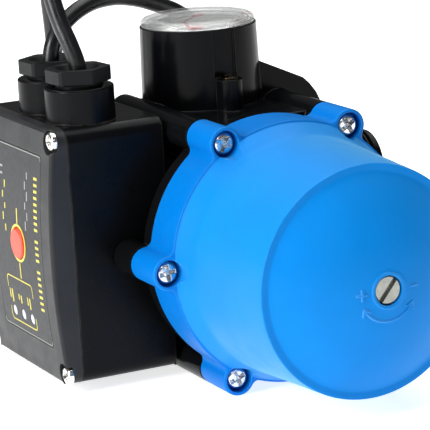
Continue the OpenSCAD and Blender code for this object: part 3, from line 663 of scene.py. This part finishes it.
def make_socket():
    """Round earthed socket on the pump lead: ribbed relief, ridged grip, deep well."""
    profile = relief() + [(10.4, 16), (11.2, 16.4)] + flare(11.2, 16.4, SOCKET_R - 11.2, 7.6)
    for i in range(8):
        h = 26 + i * 3
        profile += [(SOCKET_R, h), (19.2, h + 0.5), (19.2, h + 1.3), (SOCKET_R, h + 1.8)]
    profile += [(SOCKET_R, 57.2), (19.6, 57.8), (18.9, 58), (18.8, 57.6), (18.8, 42), (0, 42)]
    holes = [moved(rod(2.6, 24, 46, 32), Matrix.Translation((s * PIN_OFFSET, 0, 0)))
             for s in (-1, 1)]
    bm = placed(carved(lathe(profile, 72), *holes), FORWARD, SOCKET_AT)
    piece = keep("pump_socket_shell", bm, "plug_black", stands_for=("pump_socket",))
    smooth(piece.data, 35)
    return piece


def make_leads():
    ties = make_ties()
    plug, socket = make_plug(), make_socket()
    pins = refined("supply_pins", "nickel_brass", 0.0003)
    contacts = refined("pump_contacts", "brass", 0.0002)
    supply = make_cord("supply_lead", SUPPLY_ROUTE, SUPPLY_COIL, 180, SUPPLY_TAIL,
                       ("supply_cord", "supply_coil"))
    pump = make_cord("pump_lead", PUMP_ROUTE, PUMP_COIL, 90, PUMP_TAIL,
                     ("pump_cord", "pump_coil"))


# ---------------------------------------------------------------- bonnet
BOSS_COUNT, BOSS_PITCH, BOSS_R = 6, 55.0, 6.8
FLANGE_R, FILLET_R = 53.2, 3.2
FACE_R, RIM_H, CROWN_H = 42.2, 82.5, 98.0
COLLAR_R = 7.5                           # foot of the collar round the adjuster
SPRING_R = 9.0                           # pocket round the adjuster, inside
WALL = 2.6
SCREW_SEAT_H = 17.6
MARK_TOP, MARK_SINK, MARK_EDGE = 0.42, 0.4, 0.12


def dome_h(r):
    rise = CROWN_H - RIM_H
    ball = (FACE_R ** 2 + rise ** 2) / (2 * rise)
    return CROWN_H - ball + math.sqrt(ball ** 2 - r * r)


def flange_outline(inset):
    """Flange with its six bosses and the fillets between them, as (u, v, boss) points.

    boss goes from 0 on the flange to 1 on a boss. inset shrinks the outline evenly.
    """
    reach, side = FLANGE_R + FILLET_R, BOSS_R + FILLET_R
    fx = (reach ** 2 + BOSS_PITCH ** 2 - side ** 2) / (2 * BOSS_PITCH)
    fy = math.sqrt(reach ** 2 - fx ** 2)
    root = math.atan2(fy, fx)
    to_boss = math.atan2(fy, BOSS_PITCH - fx)
    wrap = math.pi - to_boss
    out = []
    for i in range(BOSS_COUNT):
        local = []
        for k in range(9):                       # fillet before the boss
            t = k / 8
            a = (math.pi - root) + (to_boss - (math.pi - root)) * t
            r = FILLET_R + inset
            local.append((fx + r * math.cos(a), -fy + r * math.sin(a), t * t * (3 - 2 * t)))
        for k in range(1, 32):                   # round the boss
            a = -wrap + 2 * wrap * k / 32
            r = BOSS_R - inset
            local.append((BOSS_PITCH + r * math.cos(a), r * math.sin(a), 1.0))
        for u, v, w in reversed(local[:9]):      # fillet after it
            local.append((u, -v, w))
        gap = math.pi / 3 - 2 * root
        for k in range(1, 20):                   # flange up to the next boss
            a = root + gap * k / 20
            r = FLANGE_R - inset
            local.append((*polar(r, a), 0.0))
        c, s = math.cos(i * math.pi / 3), math.sin(i * math.pi / 3)
        out += [(u * c - v * s, u * s + v * c, w) for u, v, w in local]
    return out


def bonnet_rings():
    """Closed section of the bonnet, ring by ring, in the sketch frame."""
    base = flange_outline(0)
    angles = [math.atan2(v, u) for u, v, _ in base]
    rings = [
        [(u, v, h + lift * w) for u, v, w in flange_outline(inset)]
        for h, inset, lift in ((1.0, 0.35, 0), (1.12, 0.1, 0), (1.4, 0, 0), (11.0, 0, 0),
                               (21.3, 0, 0.6), (21.65, 0.08, 0.6), (21.9, 0.3, 0.6),
                               (22.0, 0.6, 0.6))
    ]

    def circle(r, h, lift=0.0):
        rings.append([(*polar(r, a), h + lift * p[2]) for a, p in zip(angles, base)])

    circle(52.35, 22.15, 0.45)
    # up the skirt to the rim
    for r, h in ((51.6, 23.75), (50.4, 26.6), (49.5, 28.7), (49.05, 29.85), (48.75, 30.8),
                 (48.55, 31.8), (48.4, 33.0), (48.0, 40), (47.3, 52.5), (46.6, 65), (45.95, 76.5),
                 (45.65, 81.6), (45.6, 82.0), (45.42, 82.34), (45.1, 82.5), (43.6, 82.5),
                 (42.75, 82.52), (42.2, 82.7)):
        circle(r, h)
    steps = 24
    for i in range(1, steps + 1):                # over the dome
        r = FACE_R + (COLLAR_R - FACE_R) * (i / steps)
        circle(r, dome_h(r) + (0.0 if i < steps else 0.02))
    # the collar, down the adjuster's bore and out into the pocket
    for r, h in ((7.1, 97.75), (7.05, 98.0), (6.9, 98.1), (6.1, 98.1), (5.9, 98.02), (5.8, 97.8),
                 (5.8, 94.0), (5.35, 94.0), (5.35, 76.0), (SPRING_R, 76.0), (SPRING_R, 92.0)):
        circle(r, h)
    for i in range(1, 9):                        # under the dome
        r = SPRING_R + (FACE_R - WALL - SPRING_R) * i / 8
        circle(r, min(92.0, dome_h(r) - WALL - 0.4))
    for r, h in ((43.0, 76.0), (45.2, 40.0), (45.2, 32.0), (47.0, 19.0), (47.0, 1.0)):
        circle(r, h)
    return rings


def mark(inner, outer):
    """Raised mark on the dome between two lines of (u, v) points, with chamfered sides."""
    low, high = -MARK_SINK, MARK_TOP
    rows = []
    for (au, av), (bu, bv) in zip(inner, outer):
        size = math.hypot(bu - au, bv - av)
        iu, iv = (bu - au) / size * MARK_EDGE, (bv - av) / size * MARK_EDGE
        across = [(au - iu, av - iv, low), (au, av, high - 0.1), (au + iu, av + iv, high),
                  (bu - iu, bv - iv, high), (bu, bv, high - 0.1), (bu + iu, bv + iv, low)]
        rows.append([(u, v, dome_h(math.hypot(u, v)) + lift) for u, v, lift in across])
    return ring_grid(rows)


def bar_mark(centre, length, width, angle):
    c, s = math.cos(angle), math.sin(angle)
    steps = max(2, int(length / 0.8))
    lines = []
    for side in (-width / 2, width / 2):
        lines.append([
            (centre[0] + u * c - side * s, centre[1] + u * s + side * c)
            for u in (-length / 2 + length * k / steps for k in range(steps + 1))
        ])
    return mark(*lines)


def arc_mark(r, width, start, end, steps=48):
    turns = [start + (end - start) * k / steps for k in range(steps + 1)]
    return mark(*[[polar(q, a) for a in turns] for q in (r - width / 2, r + width / 2)])


def make_marks():
    """Plus, minus and a double-headed arc around the adjuster, raised from the dome."""
    width, arc_r, end = 0.7, 12, math.radians(30)
    marks = [bar_mark((-11, -0.4), 4.6, width, 0), bar_mark((-11, -0.4), 4.6, width, math.pi / 2),
             bar_mark((11.2, 0.2), 3.6, width, 0), arc_mark(arc_r, width, -math.pi + end, -end)]
    tip = Vector((arc_r * math.cos(end), -arc_r * math.sin(end)))
    for s in (-1, 1):
        for a in (55, 125):
            turn = math.radians(a - 180) - end
            middle = tip + Vector((math.cos(turn), math.sin(turn))) * 1.4
            marks.append(bar_mark((s * middle.x, middle.y), 3.2, width,
                                  turn if s > 0 else math.pi - turn))
    return marks


def round_bosses(i):
    """From a boss's own frame to boss i on the flange."""
    turn = Matrix.Rotation(i * 2 * math.pi / BOSS_COUNT, 4, "Z")
    return turn @ Matrix.Translation((BOSS_PITCH, 0, 0))


def make_bonnet():
    cutters = []
    for i in range(BOSS_COUNT):
        cutters += [moved(rod(5.4, SCREW_SEAT_H, 34, 64), round_bosses(i)),
                    moved(rod(2.55, -2, 19, 40), round_bosses(i))]
    shell = carved(ring_grid(bonnet_rings(), closed=True), *cutters)
    bm = placed(merged(shell, *make_marks()), FORWARD, AXIS)
    piece = keep("bonnet_shell", bm, "blue_moulding", stands_for=("bonnet",))
    smooth(piece.data, 33)
    round_edges(piece, 0.0002, 2, 50)


# ---------------------------------------------------------------- screws
SCREW_TURNS = (0.35, 1.05, 0.6, 0.15, 0.9, 0.5)


def cross_screw(shank_r, head_r, head_h, length):
    """Pan-head screw with a tapered cross recess; head up from h = 0."""
    side, crown, shoulder = head_h * 0.42, head_h * 0.52, head_r * 0.62
    profile = [(0, -length), (shank_r - 0.3, -length), (shank_r, -length + 0.4), (shank_r, 0),
               (head_r - 0.25, 0), (head_r, 0.25), (head_r, side)]
    for k in range(1, 9):
        a = math.pi / 2 * k / 8
        profile.append((head_r - (head_r - shoulder) * (1 - math.cos(a)),
                        side + crown * math.sin(a)))
    profile += [(head_r * 0.4, head_h * 0.985), (0, head_h)]
    top, foot = head_h + 0.3, head_h * 0.05
    slot = []
    for half, thick, h in ((head_r * 0.4, head_r * 0.13, foot), (head_r * 0.78, head_r * 0.2, top)):
        slot.append([(-half, -thick, h), (half, -thick, h), (half, thick, h), (-half, thick, h)])
    cutters = [moved(ring_grid(slot), Matrix.Rotation(a, 4, "Z")) for a in (0, math.pi / 2)]
    cutters.append(lathe([(0, foot - 0.4), (head_r * 0.22, foot), (head_r * 0.34, top), (0, top)], 24))
    return carved(lathe(profile, 64), *cutters)


def keep_screws(name, screw, spots, turn, node):
    """One piece with a copy of screw, which is in mm, at each spot."""
    piece = keep(name, placed(copies(screw, spots), turn, AXIS), "zinc_steel", stands_for=(node,))
    smooth(piece.data, 30)
    round_edges(piece, 0.00008, 1, 40)


def make_bonnet_screws():
    spots = [
        round_bosses(i) @ Matrix.Translation((0, 0, SCREW_SEAT_H)) @ Matrix.Rotation(turn, 4, "Z")
        for i, turn in enumerate(SCREW_TURNS)
    ]
    keep_screws("bonnet_screw_set", cross_screw(2.5, 4.65, 3.7, 31), spots, FORWARD,
                "bonnet_screws")


# ---------------------------------------------------------------- control box
BOX_MID_Y, BOX_MID_Z = 59.0, 1.75
BOX_SIDE, BOX_END = 41.5, 52             # from its middle, just inside its outer faces
LID_OUT, LID_CROWN_R = -88.0, 343.0
LID_SCREW_X, LID_SCREW_DY, LID_SCREW_DZ = -82, 38.7, 48.05
PANEL_Y, PANEL_Z = 53, 3.65
PRINT_SINK, PRINT_PROUD = -0.15, 0.06


def crown_x(z, proud=0.0):
    """Outer face of the lid or panel at local height z."""
    dz = z - BOX_MID_Z
    return LID_OUT + LID_CROWN_R - math.sqrt((LID_CROWN_R + proud) ** 2 - dz * dz)


def make_lid_screws():
    spots = []
    for sy in (-1, 1):
        for sz in (-1, 1):
            at = (LID_SCREW_X, BOX_MID_Y + sy * LID_SCREW_DY, BOX_MID_Z + sz * LID_SCREW_DZ)
            turn = Matrix.Rotation(0.4 + sy + 0.5 * sz, 4, "Z")
            spots.append(Matrix.Translation(at) @ LEFTWARD @ turn)
    keep_screws("lid_screw_set", cross_screw(1.5, 3.9, 2.6, 14), spots, Matrix(), "lid_screws")


def strip(inner, outer, closed=True):
    """Thin print between two outlines of (y, z) points, laid on the panel's curve."""
    bm = bmesh.new()
    sheets = []
    for proud in (PRINT_SINK, PRINT_PROUD):
        sheets.append([
            [bm.verts.new((crown_x(z, proud), y, z)) for y, z in line] for line in (inner, outer)
        ])
    n = len(inner)
    for k in range(n if closed else n - 1):
        j = (k + 1) % n
        for a, b in ((sheets[1][0], sheets[1][1]), (sheets[0][1], sheets[0][0]),
                     (sheets[0][0], sheets[1][0]), (sheets[1][1], sheets[0][1])):
            bm.faces.new((a[k], a[j], b[j], b[k]))
    if not closed:
        for k in (0, n - 1):
            bm.faces.new((sheets[0][0][k], sheets[0][1][k], sheets[1][1][k], sheets[1][0][k]))
    bmesh.ops.recalc_face_normals(bm, faces=bm.faces)
    return bm


def print_ring(y, z, inner_r, outer_r, steps=64):
    lines = []
    for r in (inner_r, outer_r):
        points = [polar(r, 2 * math.pi * k / steps) for k in range(steps)]
        lines.append([(y + u, z + v) for u, v in points])
    return strip(*lines)


def print_bar(y, z, width, height):
    """Filled bar, width along y and height along z."""
    steps = max(1, round(height / 4))
    zs = [z - height / 2 + height * k / steps for k in range(steps + 1)]
    return strip([(y - width / 2, q) for q in zs], [(y + width / 2, q) for q in zs], closed=False)


def print_frame(y, z, width, height, line, corner):
    loops = []
    for shrink in (line, 0):
        loop = rounded_rect(width / 2 - shrink, height / 2 - shrink, max(0.1, corner - shrink), 6)
        loops.append([(y + u, z + v) for u, v in loop])
    return strip(*loops)


def make_print():
    """Panel print with plain bars where the real one has words."""
    yellow = [print_ring(PANEL_Y, 3.15, 6.9, 8.0)]           # round the button
    z = 34.5
    for bars in (9, 4, 7):                                   # the title row
        for _ in range(bars):
            yellow.append(print_bar(32.4, z - 1.3, 3.4, 1.1))
            z -= 2.62
        z -= 2.2
    yellow.append(print_frame(55.9, -22.5, 27.8, 19.6, 0.5, 2))
    for i, width in ((-1, 3.4), (0, 2.4), (1, 4.0)):         # above each window
        yellow.append(print_bar(56 + i * 9.6, -21.5, 1.2, width * 1.4))
        yellow.append(print_bar(58.4 + i * 9.6, -20.8, 0.9, width))
    for k in range(5):
        yellow.append(print_bar(66 + 2.2 * (k % 2), 26 - 4.6 * k, 1.0, 3.2 - 0.4 * (k % 3)))
    for z in (14.5, -8.6):                                   # from the button up and down
        yellow.append(print_bar(PANEL_Y, z, 1.0, 6.5))
    grey = [print_frame(PANEL_Y, PANEL_Z, 51.2, 78.2, 0.35, 1.4)]
    for k in range(6):
        grey.append(print_bar(41.5 + 2.1 * (k % 2), 33 - 4.2 * k, 0.9, 2.8 + 0.5 * (k % 3)))
    for z in (30, 33):
        grey.append(print_bar(70.5, z, 4.4, 0.9))
    for name, parts, finish in (("panel_print", yellow, "ink_yellow"),
                                ("panel_border", grey, "ink_grey")):
        keep(name, placed(merged(*parts), Matrix(), AXIS), finish)


def box_widths(p):
    """Rounder corners outside the tray and on its collars, small ones elsewhere."""
    outside = abs(p.y - BOX_MID_Y) > BOX_SIDE or abs(p.z - BOX_MID_Z) > BOX_END
    if p.z > 60:                                 # the collars
        return 0.8 if p.z > 67 else 0.3
    return 0.7 if outside and p.x > -40 else (0.45 if outside else 0.2)


def lid_widths(p):
    dy, dz = abs(p.y - BOX_MID_Y), abs(p.z - BOX_MID_Z)
    if dy > 32.5 and dz > 42:                    # round the screws
        return 0.12
    outside = dy > BOX_SIDE or dz > BOX_END
    if outside and p.x < -82:                    # the crowned face's own edge
        return 1.3
    return 0.3 if outside else 0.15


def make_box():
    refined("control_box", "box_moulding", 0.0008, widths=box_widths, segments=3)
    refined("box_lid", "lid_moulding", 0.0016, widths=lid_widths, segments=4)
    refined("overlay_panel", "overlay", 0.00008)
    refined("restart_button", "button_red", 0.0008, body="button", segments=4)
    refined("led_windows", "window_clear", 0.0001)
    refined("gland_nuts", "gland_black", 0.0005, segments=3)
    refined("gland_seals", "rubber_black", 0.0003)
    make_lid_screws()
    make_print()


# ---------------------------------------------------------------- body and gauge
THREAD_CREST, THREAD_ROOT, THREAD_PITCH, THREAD_LENGTH = 16.62, 15.1, 2.309, 20
INLET_Y = 92
OUTLET_X, OUTLET_Y, OUTLET_Z = 55, 50, 14
GAUGE_AT = (-0.7, 54, 81.3)


def helical_thread(steps=72):
    """G1 thread: a 55 degree ridge wound on its root, in mm."""
    total = int((THREAD_LENGTH - THREAD_PITCH - 1.2) / THREAD_PITCH * steps)
    foot = THREAD_ROOT - 0.2
    rows = []
    for i in range(total + 1):
        a = 2 * math.pi * i / steps
        fade = min(1.0, i / 18, (total - i) / 18)
        crest = foot + (THREAD_CREST - THREAD_ROOT + 0.2) * fade
        h = 1.3 + THREAD_PITCH * i / steps
        rows.append([(*polar(r, a), h + dh)
                     for r, dh in ((foot, -0.98), (crest, -0.24), (crest, 0.24), (foot, 0.98))])
    return ring_grid(rows)


def turn_down_ports(bm):
    """Takes the plain port cylinders down to the thread's root."""
    def on_crest(spoke):
        return abs(spoke.length - THREAD_CREST) < 0.05

    for v in bm.verts:
        p = v.co / MM - AXIS
        inlet = Vector((p.x, p.z))
        outlet = Vector((p.y - OUTLET_Y, p.z - OUTLET_Z))
        if p.y > INLET_Y - 0.5 and on_crest(inlet):
            inlet *= THREAD_ROOT / inlet.length
            v.co = (Vector((inlet.x, p.y, inlet.y)) + AXIS) * MM
        elif p.x > OUTLET_X - 0.5 and on_crest(outlet):
            outlet *= THREAD_ROOT / outlet.length
            v.co = (Vector((p.x, outlet.x + OUTLET_Y, outlet.y + OUTLET_Z)) + AXIS) * MM


def body_widths(p):
    """Sharp on the joint face, where the bonnet and the diaphragm close it; rolled elsewhere."""
    if p.y < 0.3:
        return 0.0
    if p.z > 62:                                 # the gauge tower
        return 0.35
    return 0.5 if p.y > 2 else 0.3


def make_body():
    refined("main_body", "black_moulding", 0.0005, widths=body_widths, change=turn_down_ports)
    inlet = placed(helical_thread(), BACKWARD, AXIS + Vector((0, INLET_Y, 0)))
    outlet = placed(helical_thread(), ALONG_X, AXIS + Vector((OUTLET_X, OUTLET_Y, OUTLET_Z)))
    piece = keep("port_threads", merged(inlet, outlet), "black_moulding")
    smooth(piece.data, 25)
    refined("gauge_case", "black_moulding", 0.0002)
    refined("gauge_screw", "aged_brass", 0.0002)


def flat_text(word, size, at):
    """Number on the dial as a thin mesh, centred at a point in local mm."""
    curve = bpy.data.curves.new("number", "FONT")
    curve.body = word
    curve.size = size
    curve.align_x = "CENTER"
    curve.align_y = "CENTER"
    curve.extrude = 0.03
    o = bpy.data.objects.new("number", curve)
    scene.collection.objects.link(o)
    mesh = baked(o)
    bm = bmesh.new()
    bm.from_mesh(mesh)
    bpy.data.objects.remove(o)
    bpy.data.meshes.remove(mesh)
    return moved(bm, Matrix.Translation(at))


def dial_bar(angle, inner, outer, width):
    bm = prism([(inner, -width / 2), (outer, -width / 2), (outer, width / 2), (inner, width / 2)],
               0, 0.05)
    return moved(bm, Matrix.Rotation(angle, 4, "Z"))


def dial_arc(inner, outer, start, end, steps=48):
    section = ((inner, 0), (outer, 0), (outer, 0.05), (inner, 0.05))
    turns = [start + (end - start) * k / steps for k in range(steps + 1)]
    return ring_grid([[(*polar(r, a), h) for r, h in section] for a in turns])


def make_gauge():
    """Dial with its marks, pointer and lens. Every second number of 0 to 10 is drawn."""
    centre = AXIS + Vector(GAUGE_AT)
    start, sweep = math.radians(225), math.radians(-270)
    parts, marks_per_part = 10, 5
    black = []
    for i in range(parts * marks_per_part + 1):
        a = start + sweep * i / (parts * marks_per_part)
        long = i % marks_per_part == 0
        black.append(dial_bar(a, 16.2 if long else 17.4, 19.0, 0.4 if long else 0.2))
    black.append(dial_arc(18.8, 19.1, start, start + sweep))
    for i in range(0, parts + 1, 2):
        black.append(flat_text(str(i), 3.6, (*polar(13.4, start + sweep * i / parts), 0.02)))
    red = dial_arc(19.3, 20.2, start + sweep * 0.8, start + sweep)
    keep("dial_marks", placed(merged(*black), Matrix(), centre), "dial_black")
    keep("dial_red_zone", placed(red, Matrix(), centre), "pointer_red")
    refined("gauge_dial", "dial_white", 0.0001)
    refined("gauge_pointer", "pointer_red", 0.00012, body="pointer")
    refined("gauge_lens", "lens_clear", 0.0008, segments=4, angle=50)


def make_adjuster():
    refined("adjusting_screw", "nickel_brass", 0.00025, body="adjuster", segments=3)


def make_spring(node):
    """Smooth-shaded copy of a coil spring, which stands in for its CAD node."""
    bm = bmesh.new()
    bm.from_mesh(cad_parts[node].data)
    piece = new_object(node + "_coil", bm, MATERIALS["spring_steel"])
    smooth(piece.data)
    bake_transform(piece)
    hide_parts(node)


def make_springs():
    make_spring("main_spring")
    make_spring("valve_spring")


# ---------------------------------------------------------------- what stays as CAD
INSIDE = {
    "box_fixing_screws": "zinc_steel", "lid_gasket": "rubber_black",
    "tact_switch": "switch_black", "circuit_board": "board_green", "status_leds": "led_resin",
    "relay": "relay_blue", "capacitor": "capacitor_yellow", "terminal_block": "terminal_green",
    "flow_sensor": "board_green", "adjuster_seal": "rubber_black", "spring_seat": "zinc_steel",
    "diaphragm": "rubber_black", "diaphragm_plate": "zinc_steel",
    "diaphragm_washer": "zinc_steel", "diaphragm_nut": "zinc_steel",
    "valve_guide": "natural_acetal", "check_valve": "natural_acetal", "valve_magnet": "magnet",
    "valve_seal": "rubber_black", "gauge_stem": "brass",
}


def finish_inside():
    for node, finish in INSIDE.items():
        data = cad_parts[node].data
        if not data.materials:
            data.materials.append(MATERIALS[finish])
        for i in range(len(data.materials)):
            data.materials[i] = MATERIALS[finish]


# ---------------------------------------------------------------- studio
def area_light(name, at, aim, size, power):
    """Softbox at a point, turned to aim; size in metres and power in watts."""
    data = bpy.data.lights.new(name, "AREA")
    data.shape = "RECTANGLE"
    data.size, data.size_y = size
    data.energy = power
    lamp = bpy.data.objects.new(name, data)
    scene.collection.objects.link(lamp)
    lamp.location = at
    lamp.rotation_euler = (Vector(aim) - Vector(at)).to_track_quat("-Z", "Y").to_euler()


def make_studio():
    bm = bmesh.new()
    bmesh.ops.create_grid(bm, x_segments=8, y_segments=8, size=6)
    floor_paper()
    new_object("floor", bm, MATERIALS["floor_paper"])
    world = bpy.data.worlds.new("studio")
    scene.world = world
    world.use_nodes = True
    background = world.node_tree.nodes["Background"]
    background.inputs[0].default_value = (1, 1, 1, 1)
    background.inputs[1].default_value = 0.09
    area_light("top", (0.0, 0.5, 2.2), (0.0, 0.25, 0), (3.0, 3.0), 70)
    area_light("left", (-1.9, -0.3, 0.75), (0, 0, 0.05), (0.7, 1.0), 36)
    area_light("front", (-0.5, -2.0, 1.1), (0, 0, 0.06), (0.3, 0.3), 2.5)
    scene.view_settings.view_transform = "Standard"


make_camera()
make_materials()
make_leads()
make_body()
make_bonnet()
make_bonnet_screws()
make_adjuster()
make_box()
make_gauge()
make_springs()
finish_inside()
make_studio()
